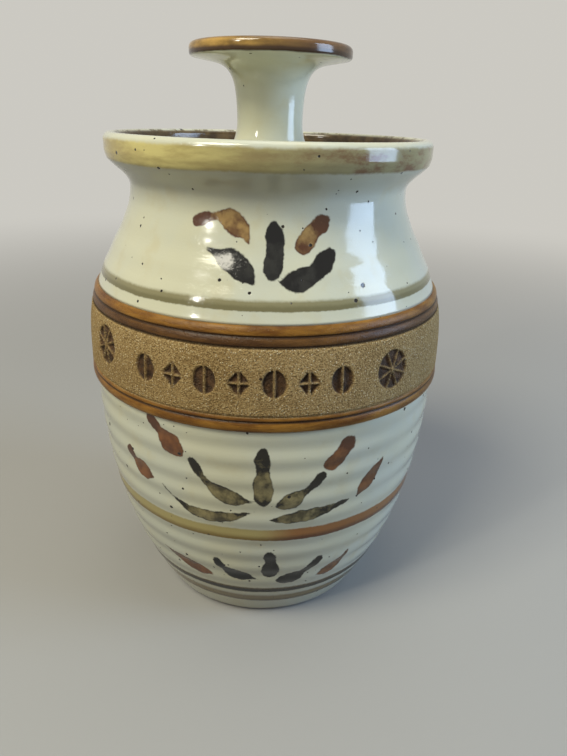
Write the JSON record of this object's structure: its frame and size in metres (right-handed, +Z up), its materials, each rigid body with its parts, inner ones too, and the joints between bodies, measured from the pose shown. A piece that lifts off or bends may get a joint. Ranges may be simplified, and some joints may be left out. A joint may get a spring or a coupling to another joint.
{
  "type": "biscuit jar",
  "caption": "Stoneware biscuit jar with a barrel body, a raised unglazed clay band and an inset lid that lifts off by a hollow trumpet knob.",
  "frame": {"origin": "centre of the foot, on the table", "axes": "+Z up along the axis of the thrown body; -Y towards the middle of the pictured side"},
  "size_m": [0.1684, 0.1684, 0.2572],
  "materials": {
    "body_glaze": "glossy speckled glaze",
    "bare_clay": "matt, sandy, unglazed",
    "lid_glaze": "glossy speckled glaze",
    "knob_glaze": "glossy glaze breaking amber at the lip"
  },
  "bodies": {
    "jar": {"jar_body": "body_glaze", "clay_band": "bare_clay"},
    "lid": {"lid": "lid_glaze", "knob": "knob_glaze"}
  },
  "joints": [
    {"name": "lid_lift", "type": "slide", "parent": "jar", "child": "lid", "axis": [0, 0, 1], "range_m": [0, 0.16]}
  ]
}
